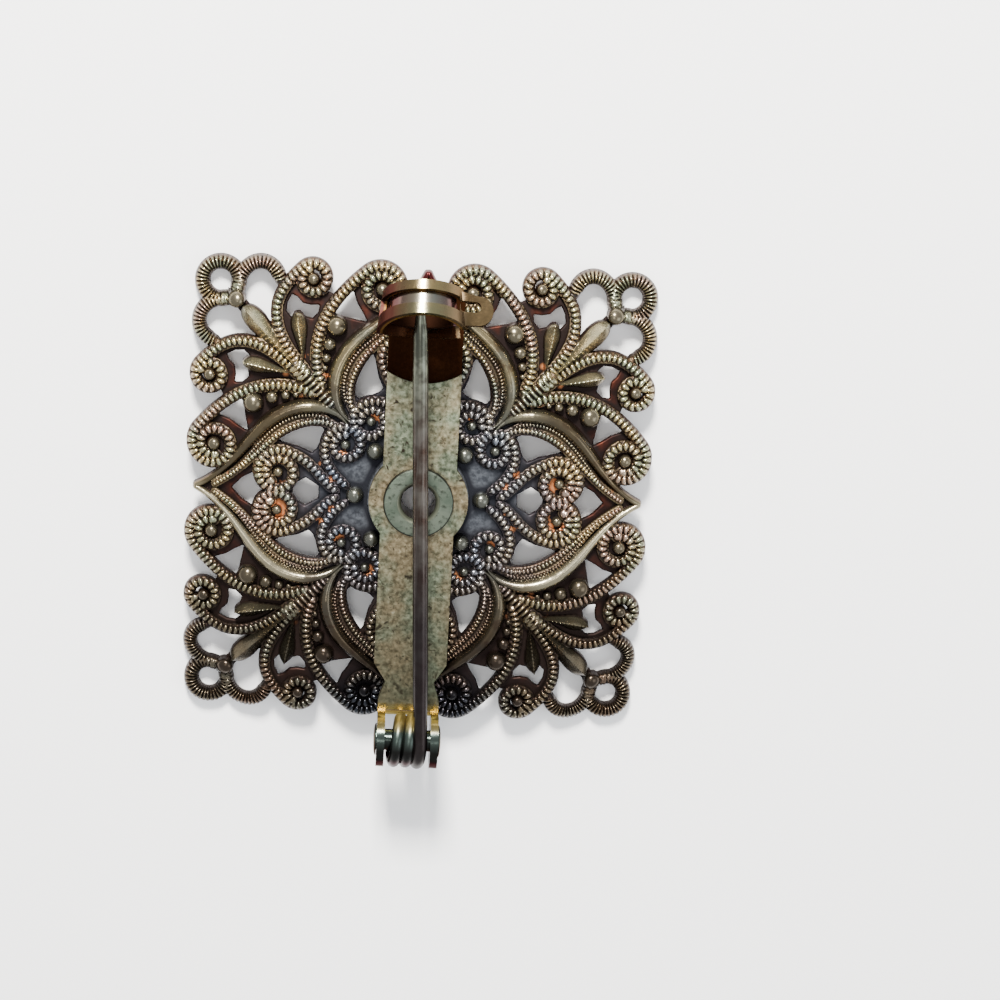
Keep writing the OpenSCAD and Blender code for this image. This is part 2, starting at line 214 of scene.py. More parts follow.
# x, y, radius and height of the middle of each round bead
BEAD_TABLE = [(13.20, 13.20, 0.64, 0.98), (11.75, 6.15, 0.72, 0.82), (10.45, 6.60, 0.45, 0.85)]
BEAD_TABLE += [(9.50, 6.78, 0.33, 0.85), (8.80, 6.85, 0.22, 0.80), (3.12, 3.12, 0.60, 0.85)]
BEAD_TABLE += [(4.42, 0.00, 0.60, 0.95), (14.40, 3.12, 0.46, 0.88), (14.85, 7.90, 0.43, 0.88)]
BEAD_TABLE += [(9.84, 1.35, 0.36, 0.80), (5.22, 3.50, 0.34, 0.80)]

# start, end, widest half width, where it is widest, height
LEAF_TABLE = [
    ((8.7, 8.7), (12.7, 12.7), 0.76, 0.74, 1.38),
    ((9.2, 8.35), (12.6, 8.93), 0.56, 0.66, 1.32),
]

# Outline of the sheet that the strands lie on, and of the holes that pierce it
SHEET = [(0, -0.5), (15.2, -0.5), (15.2, 0.2), (14.2, 1.2), (14.8, 3), (14.6, 5.0), (13.9, 6.5), (14.5, 8.0)]
SHEET += [(14.7, 10.3), (15.0, 12.3), (14.0, 13.3), (12.9, 13.6), (5.5, 6.5)]
HOLES = [
    [(11.7, 10.3), (12.9, 10.4), (14.3, 10.3), (15.2, 10.8), (15.4, 11.5), (15.2, 12.4), (14.3, 12.8)]
    + [(13.3, 12.6), (12.6, 11.9), (12.0, 11.2)],
    [(12.2, 9.3), (12.55, 9.6), (13.1, 9.55), (13.6, 9.3), (13.45, 9.0), (13.05, 8.6), (12.95, 8.0)]
    + [(13.0, 7.5), (12.6, 7.55), (12.2, 7.9), (12.35, 8.5)],
    [(12.15, 4.2), (12.35, 5.2), (12.5, 6.0), (12.8, 6.5), (13.6, 6.0), (14.1, 5.4), (14.0, 5.15)]
    + [(13.3, 4.9), (12.7, 4.5)],
    [(6.8, 4.4), (7.05, 4.65), (8.15, 4.85), (9.0, 4.65), (9.6, 4.3), (10.0, 3.75), (9.6, 3.5), (8.3, 3.2)]
    + [(7.55, 2.85), (7.3, 3.1), (7.05, 3.65)],
    [(7.05, -0.4), (7.9, -0.9), (8.7, -0.4), (8.7, 0.4), (7.9, 0.9), (7.05, 0.4)],
    [(10.9, -0.3), (11.6, -1.1), (12.3, -0.7), (12.95, 0), (12.3, 0.7), (11.6, 1.1), (10.9, 0.3)],
]

# Middle and reach of each place where bright copper shows between the beads
EMBERS = [(9.84, 1.35, 0.85), (5.45, 3.15, 0.48), (6.75, 1.95, 0.36), (6.05, 1.05, 0.30)]
EMBERS += [(8.35, 6.75, 0.30), (9.55, 8.25, 0.28), (13.5, 1.05, 0.30)]

# Pitch and reach of the grid of heights, and the blur, in cells, that tells hollow places from proud ones
GRID_PITCH = 0.048
GRID_REACH = 16.9
BLUR_CELLS = 8.0
BLUR_PAD = 40
HOLLOW_DEPTH = 0.25
PROUD_HEIGHT = 0.35
# The metal's edge: how wide and how deep it is eased, and how wide its darker border is
EASE_WIDTH = 0.10
EASE_DEPTH = 0.12
BORDER_WIDTH = 0.22
# Depth of the grooves across a coiled rod, and how much wider the beads are than the ridge under them
RIB_DEPTH = 0.30
BEAD_WIDER = 1.12
# Thickness of the sheet, share of its width that an ogee rod keeps at its tip, and the plain middle
SHEET_T = 0.42
TIP_SHARE = 0.30
BOSS_R = 3.55
BOSS_H = 1.37
MIDDLE_REACH = 5.6
RIVET_HOLE = 1.8
# Height of the plain back over the dome
BACK_LIFT = 0.02
# The values that the stamping's finish reads, and what they are on its back
VALUES = {"crest": 0, "plain": 0, "flank": 1, "rim": 0.5, "web": 0, "leaf": 0, "ember": 0}
VALUES |= {"hollow": 0.1, "proud": 0}


def dome(x, y):
    """Height of the underside: the rise times one less the fourth power of the distance over the reach."""
    return DOME_RISE * (1 - np.minimum(1, np.hypot(x, y) / DOME_REACH) ** 4)


def to_segment(points, a, b):
    """Distance from each point to the segment from a to b, and the share of it where the nearest place is."""
    ab, w = b - a, points - a
    t = np.clip(w @ ab / (ab @ ab), 0, 1)
    return np.hypot(w[:, 0] - t * ab[0], w[:, 1] - t * ab[1]), t


def to_path(points, path):
    """Distance from each point to the nearest place on the path, and that place's length along the path."""
    nearest = np.full(len(points), 1e9)
    along = np.zeros(len(points))
    run = 0.0
    for a, b in zip(path[:-1], path[1:]):
        length = np.hypot(*(b - a))
        d, t = to_segment(points, a, b)
        closer = d < nearest
        nearest[closer] = d[closer]
        along[closer] = run + t[closer] * length
        run += length
    return nearest, along


def to_outline(points, outline):
    """Signed distance to a closed outline: negative inside, by counting its crossings."""
    corners = np.asarray(outline, float)
    d = np.full(len(points), 1e9)
    inside = np.zeros(len(points), bool)
    for a, b in zip(corners, np.roll(corners, -1, 0)):
        d = np.minimum(d, to_segment(points, a, b)[0])
        if a[1] != b[1]:
            crossing = (b[0] - a[0]) * (points[:, 1] - a[1]) / (b[1] - a[1]) + a[0]
            inside ^= ((a[1] > points[:, 1]) != (b[1] > points[:, 1])) & (points[:, 0] < crossing)
    return np.where(inside, -d, d)


STRANDS = strand_table()
# Where the triples of a strand hold, as shares of its length
STATIONS = (0, 0.35, 1)


def beaded_form(d, foot, top, rise, phase):
    """Height and crest weight of a row of beads on a ridge.

    Each bead is half an ellipsoid as long as its pitch. Beside the beads the ridge slopes down to its foot.
    """
    bead_h = 0.75 * top + 0.08
    across = 1 - np.clip((d - top) / (foot - top), 0, 1)
    ridge = SHEET_T * 0.8 + (rise - bead_h - SHEET_T * 0.8) * across**0.85
    off = 2 * abs(phase % 1 - 0.5)
    wide = top * BEAD_WIDER
    ball = np.sqrt(np.clip(1 - (d / wide) ** 2 - 0.97 * off**2, 0, 1))
    return np.maximum(ridge, rise - bead_h - 0.03 + (bead_h + 0.03) * ball * (d < wide)), ball


def rod_form(d, foot, rise, along, length):
    """Height, roundness and half width of a smooth half-round rod that thins out to both ends.

    The width grows with the 0.6th power of the distance from either end, over 3 mm and over 7.5 mm.
    """
    opening = np.clip(along / 3.0, 0.02, 1) ** 0.6
    closing = np.clip((length - along) / 7.5, TIP_SHARE, 1) ** 0.6
    width = foot * opening * closing
    body = np.sqrt(np.clip(1 - (d / width) ** 2, 0, 1))
    return SHEET_T + (rise - SHEET_T) * body * np.clip(width / foot, 0.5, 1), body, width


def coiled_form(d, foot, rise, phase):
    """Height of a half-round rod with ribs across it: a rib is a power of a cosine along the path."""
    body = np.sqrt(np.clip(1 - (d / foot) ** 2, 0, 1))
    rib = np.clip(np.cos(np.pi * (phase % 1 - 0.5)), 0, 1) ** 0.8
    groove = RIB_DEPTH * (1 - rib) * np.minimum(1, 3 * body)
    return SHEET_T + (rise - SHEET_T) * body - groove, body * rib**2


def leaf_form(u, v, start, end, widest, at_widest, rise):
    """Signed distance past the edge and height of a leaf: two slopes up to a ridge, with a blunt end."""
    a = np.array(start)
    long = np.array(end) - a
    length = np.hypot(*long)
    t = ((u - a[0]) * long[0] + (v - a[1]) * long[1]) / length**2
    off = (long[0] * (v - a[1]) - long[1] * (u - a[0])) / length
    past = np.clip((t - at_widest) / (1 - at_widest), 0, 1)
    growing = np.clip(t / at_widest, 0, 1) ** 0.85
    ending = np.sqrt(np.clip(1 - past**2.5, 0, 1))
    half = widest * np.where(t < at_widest, growing, ending)
    inside = (t > 0) & (t < 1) & (half > 0.02)
    edge = np.where(inside, abs(off) - half, 1e9)
    slope = np.clip(1 - abs(off) / np.maximum(half, 1e-3), 0, 1)
    form = SHEET_T + (rise - SHEET_T) * (0.15 + 0.85 * slope)
    return edge, np.where(inside & (abs(off) < half), form, -1)


def relief(u, v):
    """Signed distance to the metal's edge, height above the underside, and finish weights, at plan points.

    The points lie in the one eighth that the tables hold. Each strand, bead and leaf gives a height and the
    highest wins. The nearest edge is the metal's edge, and the sheet's edge is cut back by the holes.
    """
    p = np.stack([u, v], 1)
    count = len(p)
    height = np.full(count, SHEET_T)
    edge = np.full(count, 1e9)
    crest, plain, flank, leaf, ember = np.zeros((5, count))
    web = np.ones(count)

    def raise_to(at, form, on_crest, on_plain, on_flank):
        height[at], crest[at], plain[at], flank[at], web[at] = form, on_crest, on_plain, on_flank, 0

    for kind, path, *numbers in STRANDS:
        foot, top, rise, pitch = [np.broadcast_to(number, 3) for number in numbers]
        low, high = path.min(0) - 0.8, path.max(0) + 0.8
        near = np.where((p > low).all(1) & (p < high).all(1))[0]
        if not len(near):
            continue
        d, along = to_path(p[near], path)
        length = np.hypot(*np.diff(path, axis=0).T).sum()
        share = along / length
        opening = np.clip(0.75 + along / 1.6, 0, 1)
        foot_at = np.interp(share, STATIONS, foot) * opening
        top_at = np.interp(share, STATIONS, top) * opening
        rise_at = np.interp(share, STATIONS, rise)
        marks = np.linspace(0, 1, 400)
        counted = np.cumsum(length / len(marks) / np.maximum(np.interp(marks, STATIONS, pitch), 0.01))
        phase = np.interp(share, marks, counted)
        if kind == "beaded":
            form, ball = beaded_form(d, foot_at, top_at, rise_at, phase)
            # Crests get their full weight as rubbed bright, but the fine row beside the ogee rod gets half of
            # it: painted shade from the rod.
            crest_wear_and_shade = 1.0 if top[1] > 0.18 else 0.5
            weights = (ball * crest_wear_and_shade, 0 * d, np.clip((d - top_at) / 0.06, 0, 1))
        elif kind == "rod":
            form, body, foot_at = rod_form(d, foot[0], rise_at, along, length)
            weights = (0 * d, np.clip(body * 1.6, 0, 1), 0 * d)
        else:
            form, ribs = coiled_form(d, foot_at, rise_at, phase)
            weights = (ribs * 0.85, 0 * d, 0 * d)
        edge[near] = np.minimum(edge[near], d - foot_at)
        wins = (form > height[near]) & (d < foot_at)
        raise_to(near[wins], form[wins], *(w[wins] for w in weights))
    for bead_u, bead_v, r, mid in BEAD_TABLE:
        d = np.hypot(u - bead_u, v - bead_v)
        edge = np.minimum(edge, d - r)
        form = np.where(d < r, mid + np.sqrt(np.clip(r * r - d * d, 0, None)) - 0.12, -1)
        at = form > height
        raise_to(at, form[at], 0, 1, 0)
        leaf[at] = 0.5
    for row in LEAF_TABLE:
        leaf_edge, form = leaf_form(u, v, *row)
        edge = np.minimum(edge, leaf_edge)
        at = form > height
        soft = np.clip((form[at] - SHEET_T) / 0.2 - 0.6, 0, 1)
        raise_to(at, form[at], 0, 0.85 * soft, 0)
        leaf[at] = soft
    pierced = np.min([to_outline(p, outline) for outline in HOLES], axis=0)
    edge = np.minimum(edge, np.maximum(to_outline(p, SHEET), 0.08 - pierced))
    middle = np.hypot(u, v)
    edge = np.minimum(edge, middle - MIDDLE_REACH)
    edge = np.maximum(edge, RIVET_HOLE - middle)
    for ring_u, ring_v, reach in EMBERS:
        ember = np.maximum(ember, np.clip((reach - np.hypot(u - ring_u, v - ring_v)) / 0.25, 0, 1))
    at = middle < BOSS_R
    raise_to(at, BOSS_H, 0, 0, 0)
    web[at] = 1
    return edge, height, np.stack([crest, plain, flank, web, leaf, ember], 1)


def blurred(grid, radius):
    """The grid after a Gaussian blur of that radius in cells, by Fourier transform with mirrored edges."""
    wide = np.pad(grid, BLUR_PAD, mode="reflect")
    fy = np.fft.fftfreq(wide.shape[0])[:, None]
    fx = np.fft.rfftfreq(wide.shape[1])[None, :]
    kernel = np.exp(-2 * (np.pi * radius) ** 2 * (fy**2 + fx**2))
    return np.fft.irfft2(np.fft.rfft2(wide) * kernel, wide.shape)[BLUR_PAD:-BLUR_PAD, BLUR_PAD:-BLUR_PAD]


# Meshes


def placed(name, data):
    """A new object with that data, in the scene."""
    made = bpy.data.objects.new(name, data)
    bpy.context.scene.collection.objects.link(made)
    return made


def make_mesh(name, points, faces, body, finish, smooth_angle=50.0):
    """A piece in metres, on a body and with a finish, from faces and from points in millimetres."""
    mesh = bpy.data.meshes.new(name)
    points = (np.asarray(points, float) + (0, SEAT, 0)) * MM
    faces = np.asarray(faces, np.int32)
    mesh.vertices.add(len(points))
    mesh.vertices.foreach_set("co", points.ravel())
    mesh.loops.add(faces.size)
    mesh.loops.foreach_set("vertex_index", faces.ravel())
    mesh.polygons.add(len(faces))
    mesh.polygons.foreach_set("loop_start", np.arange(len(faces), dtype=np.int32) * faces.shape[1])
    mesh.polygons.foreach_set("use_smooth", np.ones(len(faces), bool))
    mesh.update(calc_edges=True)
    mesh.validate()
    mesh.set_sharp_from_angle(angle=np.radians(smooth_angle))
    piece = placed(name, mesh)
    mesh.materials.append(finish)
    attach(piece, body)
    return piece


def grid_faces(rows, columns, close_rows=False, close_columns=False):
    """Quads of a grid of points, rows by columns, wrapping round where it is closed."""
    r = np.arange(rows if close_rows else rows - 1)
    c = np.arange(columns if close_columns else columns - 1)
    r, c = np.meshgrid(r, c, indexing="ij")
    a = r * columns + c
    b = r * columns + (c + 1) % columns
    d = ((r + 1) % rows) * columns + c
    e = ((r + 1) % rows) * columns + (c + 1) % columns
    return np.stack([a.ravel(), b.ravel(), e.ravel(), d.ravel()], 1)


def add_values(piece, **values):
    """Point values that a finish reads by name."""
    for name, value in values.items():
        layer = piece.data.attributes.new(name, "FLOAT", "POINT")
        layer.data.foreach_set("value", np.asarray(value, np.float32))


def stamping_eighth():
    """Points, triangles and finish values of the eighth between +X and the diagonal, over a plain back.

    A grid of heights is cut at the metal's edge. Grid points just outside the edge are drawn back onto it
    along the gradient of the signed distance, and walls join the top to the back all round. A place is hollow
    or proud by its height against the blurred height round it.
    """
    line = np.arange(0, GRID_REACH + GRID_PITCH, GRID_PITCH)
    side = len(line)
    i, j = np.tril_indices(side)
    x, y = line[i].copy(), line[j].copy()
    edge, height, weights = relief(x, y)

    def square(values):
        """The whole square grid, mirrored across the diagonal."""
        full = np.zeros((side, side))
        full[i, j] = values
        full[j, i] = values
        return full

    solid = square((edge < 0).astype(float))
    top = square(height)
    near = blurred(solid, BLUR_CELLS)
    mean = blurred(top * solid, BLUR_CELLS) / np.maximum(near, 0.05)
    hollow = np.clip((mean - top) / HOLLOW_DEPTH, 0, 1)[i, j]
    proud = np.clip((top - mean) / PROUD_HEIGHT, 0, 1)[i, j]
    slope_x, slope_y = np.gradient(square(edge), GRID_PITCH)
    slope_x, slope_y = slope_x[i, j], slope_y[i, j] * (j > 0)
    mean_slope = (slope_x + slope_y) / 2
    slope_x = np.where(i == j, mean_slope, slope_x)
    slope_y = np.where(i == j, mean_slope, slope_y)
    steep = np.maximum(slope_x**2 + slope_y**2, 0.3)

    index = np.full((side, side), -1)
    index[i, j] = np.arange(len(i))
    a, b = index[:-1, :-1].ravel(), index[1:, :-1].ravel()
    c, d = index[1:, 1:].ravel(), index[:-1, 1:].ravel()
    lower, upper = np.stack([a, b, c], 1), np.stack([a, c, d], 1)
    lower, upper = lower[(lower >= 0).all(1)], upper[(upper >= 0).all(1)]
    faces = np.concatenate([lower, upper])
    inside = edge < 0
    faces = faces[inside[faces].any(1)]
    used = np.zeros(len(x), bool)
    used[faces] = True
    redo = np.where(used & ~inside)[0]
    for _ in range(2):
        move = np.clip(edge[redo], 0, 1.4 * GRID_PITCH)
        x[redo] = np.maximum(x[redo] - move * slope_x[redo] / steep[redo], 0)
        y[redo] = np.maximum(y[redo] - move * slope_y[redo] / steep[redo], 0)
        edge[redo] = relief(x[redo], y[redo])[0]

    ease = np.clip(1 + edge / EASE_WIDTH, 0, 1)
    crown = np.where(inside, height, SHEET_T) - EASE_DEPTH * ease**2
    keep = np.where(used)[0]
    new = np.full(len(x), -1)
    new[keep] = np.arange(len(keep))
    count = len(keep)
    faces = new[faces]
    base = dome(x, y)[keep]
    points = np.stack([x[keep], y[keep], base + crown[keep]], 1)
    back = np.stack([x[keep], y[keep], base + BACK_LIFT], 1)
    sides = np.concatenate([faces[:, [0, 1]], faces[:, [1, 2]], faces[:, [2, 0]]])
    rim = sides[~np.isin(sides @ [count, 1], sides @ [1, count])]
    walls = np.stack([rim[:, 1], rim[:, 0], rim[:, 0] + count, rim[:, 1] + count], 1)
    faces = np.concatenate([faces, faces[:, ::-1] + count, walls[:, [0, 1, 2]], walls[:, [0, 2, 3]]])
    border = np.clip(1 + edge / BORDER_WIDTH, 0, 1)[keep] ** 2
    crest, plain, flank, *others = weights[keep].T
    front = [crest * (1 - border), plain * (1 - border), np.maximum(flank, border), border, *others]
    front += [hollow[keep], proud[keep]]
    values = {name: np.append(v, np.full(count, w)) for (name, w), v in zip(VALUES.items(), front)}
    return np.concatenate([points, back]), faces, values


def swept_tube(path, radii, sides):
    """Points round a path: circles of the given radii, square to it, carried along without twisting."""
    path = np.asarray(path, float)
    t = np.gradient(path, axis=0)
    t /= np.linalg.norm(t, axis=1)[:, None]
    frames = np.zeros_like(t)
    frames[0] = np.cross(t[0], (0.3, 0.2, 0.93))
    frames[0] /= np.linalg.norm(frames[0])
    for i in range(1, len(t)):
        f = frames[i - 1] - t[i] * (frames[i - 1] @ t[i])
        frames[i] = f / np.linalg.norm(f)
    other = np.cross(t, frames)
    a = np.linspace(0, 2 * np.pi, sides, endpoint=False)
    ring = np.cos(a)[None, :, None] * frames[:, None, :] + np.sin(a)[None, :, None] * other[:, None, :]
    return (path[:, None, :] + np.asarray(radii)[:, None, None] * ring).reshape(-1, 3)


def closed_tube(rings, sides):
    """Triangles of a run of rings with a fan at each end. The two middle points follow the rings' points."""
    quads = grid_faces(rings, sides, False, True)[:, ::-1]
    ring = np.arange(sides)
    after = (ring + 1) % sides
    tail = (rings - 1) * sides
    middle = np.full(sides, rings * sides)
    start_fan = np.stack([ring, after, middle], 1)
    end_fan = np.stack([tail + after, tail + ring, middle + 1], 1)
    return np.concatenate([quads[:, [0, 1, 2]], quads[:, [0, 2, 3]], start_fan, end_fan])


def lathe(profile, sides, axis_at, along="z"):
    """Points of a profile of (radius, distance) pairs, turned round the z or x axis through axis_at."""
    profile = np.asarray(profile, float)
    a = np.linspace(0, 2 * np.pi, sides, endpoint=False)
    r, h = profile[:, 0][:, None], profile[:, 1][:, None]
    c, s = r * np.cos(a)[None, :], r * np.sin(a)[None, :]
    h = np.broadcast_to(h, c.shape)
    order = {"z": (c, s, h), "x": (h, c, s)}[along]
    return np.stack(order, -1).reshape(-1, 3) + np.asarray(axis_at, float)


def axle_profile():
    """Axle from head to head as distance from its axis and place along it: a head is a low dome on a rim.

    The dome's radius is a power of a sine and its fall is one less the cosine of the same angle.
    """
    end = HINGE_HALF + HEAD_OUT
    t = np.linspace(0, np.pi / 2, 7)
    head = np.stack([HEAD_R * np.sin(t) ** 0.7, end - HEAD_DOME * (1 - np.cos(t))], 1)
    neck = [(HEAD_R, HINGE_HALF + HEAD_GAP), (AXLE_R, HINGE_HALF + HEAD_GAP)]
    half = np.concatenate([head[1:], neck])
    return np.concatenate([half, half[::-1] * (1, -1)])


def wire_line():
    """Middle line and radii of the pin: a helix round the axle, then a straight line to the point.

    The far turns are a little thinner, the straight part swells a little beyond the hinge, and the end is a
    taper: a power of the distance to the point.
    """
    turns = np.linspace(-COIL_TURNS, 0, COIL_POINTS)
    a = turns * 2 * np.pi
    x, y, z = COIL_END_X + turns * COIL_PITCH, HINGE_Y + COIL_R * np.sin(a), HINGE_Z + COIL_R * np.cos(a)
    coil = np.stack([x, y, z], 1)
    start = coil[-1]
    run = np.linspace(0, 1, 90)[1:, None]
    straight = start + run * (np.array([POINT_X, POINT_Y, CATCH_Z]) - start)
    path = np.concatenate([coil, straight])
    along = path[:, 1]
    taper = np.clip((POINT_Y - along) / TAPER_LENGTH, 0, 1)
    swell = np.clip((along + 14.2) / 2, 0, 1) * np.clip((11.5 - along) / 3, 0, 1)
    straight_r = POINT_R + (WIRE_R + STRAIGHT_SWELL * swell - POINT_R) * taper**TAPER_POWER
    radii = np.full(len(path), WIRE_R)
    radii[:COIL_POINTS] -= COIL_THINNER * np.clip(-turns - 0.2, 0, 1)
    return path, np.where(np.arange(len(path)) >= STRAIGHT_FROM, straight_r, radii)


def cad_copy(node, name, body, finish, width):
    """A CAD node's shape with its points merged and its sharp edges rounded by a bevel, in millimetres.

    The bevel follows edge weights: the whole of its width on the catch's lip and a share of it elsewhere.
    """
    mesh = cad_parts[node].data.copy()
    piece = placed(name, mesh)
    mesh.materials.clear()
    mesh.materials.append(finish)
    shell = bmesh.new()
    shell.from_mesh(mesh)
    bmesh.ops.remove_doubles(shell, verts=shell.verts, dist=1e-6)
    bmesh.ops.dissolve_limit(shell, angle_limit=0.01, verts=shell.verts, edges=shell.edges)
    bmesh.ops.recalc_face_normals(shell, faces=shell.faces)
    weight = shell.edges.layers.float.new("bevel_weight_edge")
    for edge in shell.edges:
        if edge.calc_face_angle(0) > np.radians(SHARP_ANGLE):
            middle = (edge.verts[0].co + edge.verts[1].co) / (2 * MM)
            lip = middle.x > CATCH_X + 2.3 and middle.y > 8 and middle.z > BAR_TOP + 0.4
            edge[weight] = 1 if lip else 1 / LIP_ROUNDING
    shell.to_mesh(mesh)
    shell.free()
    mesh.polygons.foreach_set("use_smooth", np.ones(len(mesh.polygons), bool))
    mesh.set_sharp_from_angle(angle=np.radians(SHARP_ANGLE))
    bevel = piece.modifiers.new("round_edges", "BEVEL")
    bevel.width = LIP_ROUNDING * width * MM
    bevel.segments = 2
    bevel.limit_method = "WEIGHT"
    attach(piece, body)
    return piece


# Finishes


def feed(tree, socket, value):
    """Links a tone or an output to a node's socket, or sets it to a number, a vector or a colour."""
    value = getattr(value, "socket", value)
    if isinstance(value, bpy.types.NodeSocket):
        tree.links.new(value, socket)
    elif isinstance(value, tuple) and len(value) < len(socket.default_value):
        socket.default_value = (*value, 1.0)
    else:
        socket.default_value = value


class Tone:
    """A shader socket that arithmetic can be written with."""

    def __init__(self, tree, socket):
        self.tree, self.socket = tree, socket

    def maths(self, operation, *others):
        """One Math node: this tone, then the others, which are tones or numbers."""
        node = self.tree.nodes.new("ShaderNodeMath")
        node.operation = operation
        for socket, value in zip(node.inputs, (self, *others)):
            feed(self.tree, socket, value)
        return Tone(self.tree, node.outputs[0])

    def __add__(self, other):
        return self.maths("ADD", other)

    def __mul__(self, other):
        return self.maths("MULTIPLY", other)

    def __sub__(self, other):
        return self.maths("SUBTRACT", other)

    def __pow__(self, other):
        return self.maths("POWER", other)

    def __rsub__(self, other):
        return self * -1 + other

    __radd__ = __add__
    __rmul__ = __mul__

    def between(self, low, high):
        """0 below low, 1 above high, a straight ramp between, kept within those limits."""
        node = self.tree.nodes.new("ShaderNodeMapRange")
        self.tree.links.new(self.socket, node.inputs["Value"])
        node.inputs["From Min"].default_value = low
        node.inputs["From Max"].default_value = high
        return Tone(self.tree, node.outputs[0])


class Finish:
    """A material under construction, with calls for the nodes it is made of."""

    def __init__(self, name):
        self.material = bpy.data.materials.new(name)
        self.material.use_nodes = True
        self.tree = self.material.node_tree
        self.shader = self.tree.nodes["Principled BSDF"]
        self.place = self.node("ShaderNodeTexCoord").node.outputs["Object"]

    def node(self, kind, settings=None, out=0, **sockets):
        """One output of a new node of that kind: settings first, then values or links for its sockets."""
        made = self.tree.nodes.new(kind)
        for key, value in (settings or {}).items():
            setattr(made, key, value)
        for key, value in sockets.items():
            feed(self.tree, made.inputs[key], value)
        tone = Tone(self.tree, made.outputs[out])
        tone.node = made
        return tone

    def noise(self, scale, detail=3.0, roughness=0.55):
        """Noise over the object's place, about 0.5 in the middle of its range."""
        kind = "ShaderNodeTexNoise"
        return self.node(kind, Vector=self.place, Scale=scale, Detail=detail, Roughness=roughness)

    def axes(self):
        """The place on the object in millimetres from the rivet's axis, as three tones."""
        made = self.node("ShaderNodeSeparateXYZ", Vector=self.place).node
        x, y, z = [Tone(self.tree, made.outputs[k]) * (1 / MM) for k in range(3)]
        return x, y - SEAT, z

    def value(self, name):
        """A point value that add_values wrote."""
        return self.node("ShaderNodeAttribute", {"attribute_name": name}, out="Fac")

    def blend(self, weight, low, high):
        """The colour low where the weight is 0 and high where it is 1."""
        made = self.tree.nodes.new("ShaderNodeMix")
        made.data_type = "RGBA"
        for place, value in ((0, weight), (6, low), (7, high)):
            feed(self.tree, made.inputs[place], value)
        return Tone(self.tree, made.outputs[2])

    def wear(self, colour, roughness, metallic, height=None, depth=0.00002, strength=0.5):
        """Joins colour, roughness, metal and a relief to the shader."""
        for name, value in (("Base Color", colour), ("Roughness", roughness), ("Metallic", metallic)):
            feed(self.tree, self.shader.inputs[name], value)
        if height is not None:
            sizes = {"Height": height, "Distance": depth, "Strength": strength}
            bump = self.node("ShaderNodeBump", out="Normal", **sizes)
            self.tree.links.new(bump.socket, self.shader.inputs["Normal"])
        return self.material


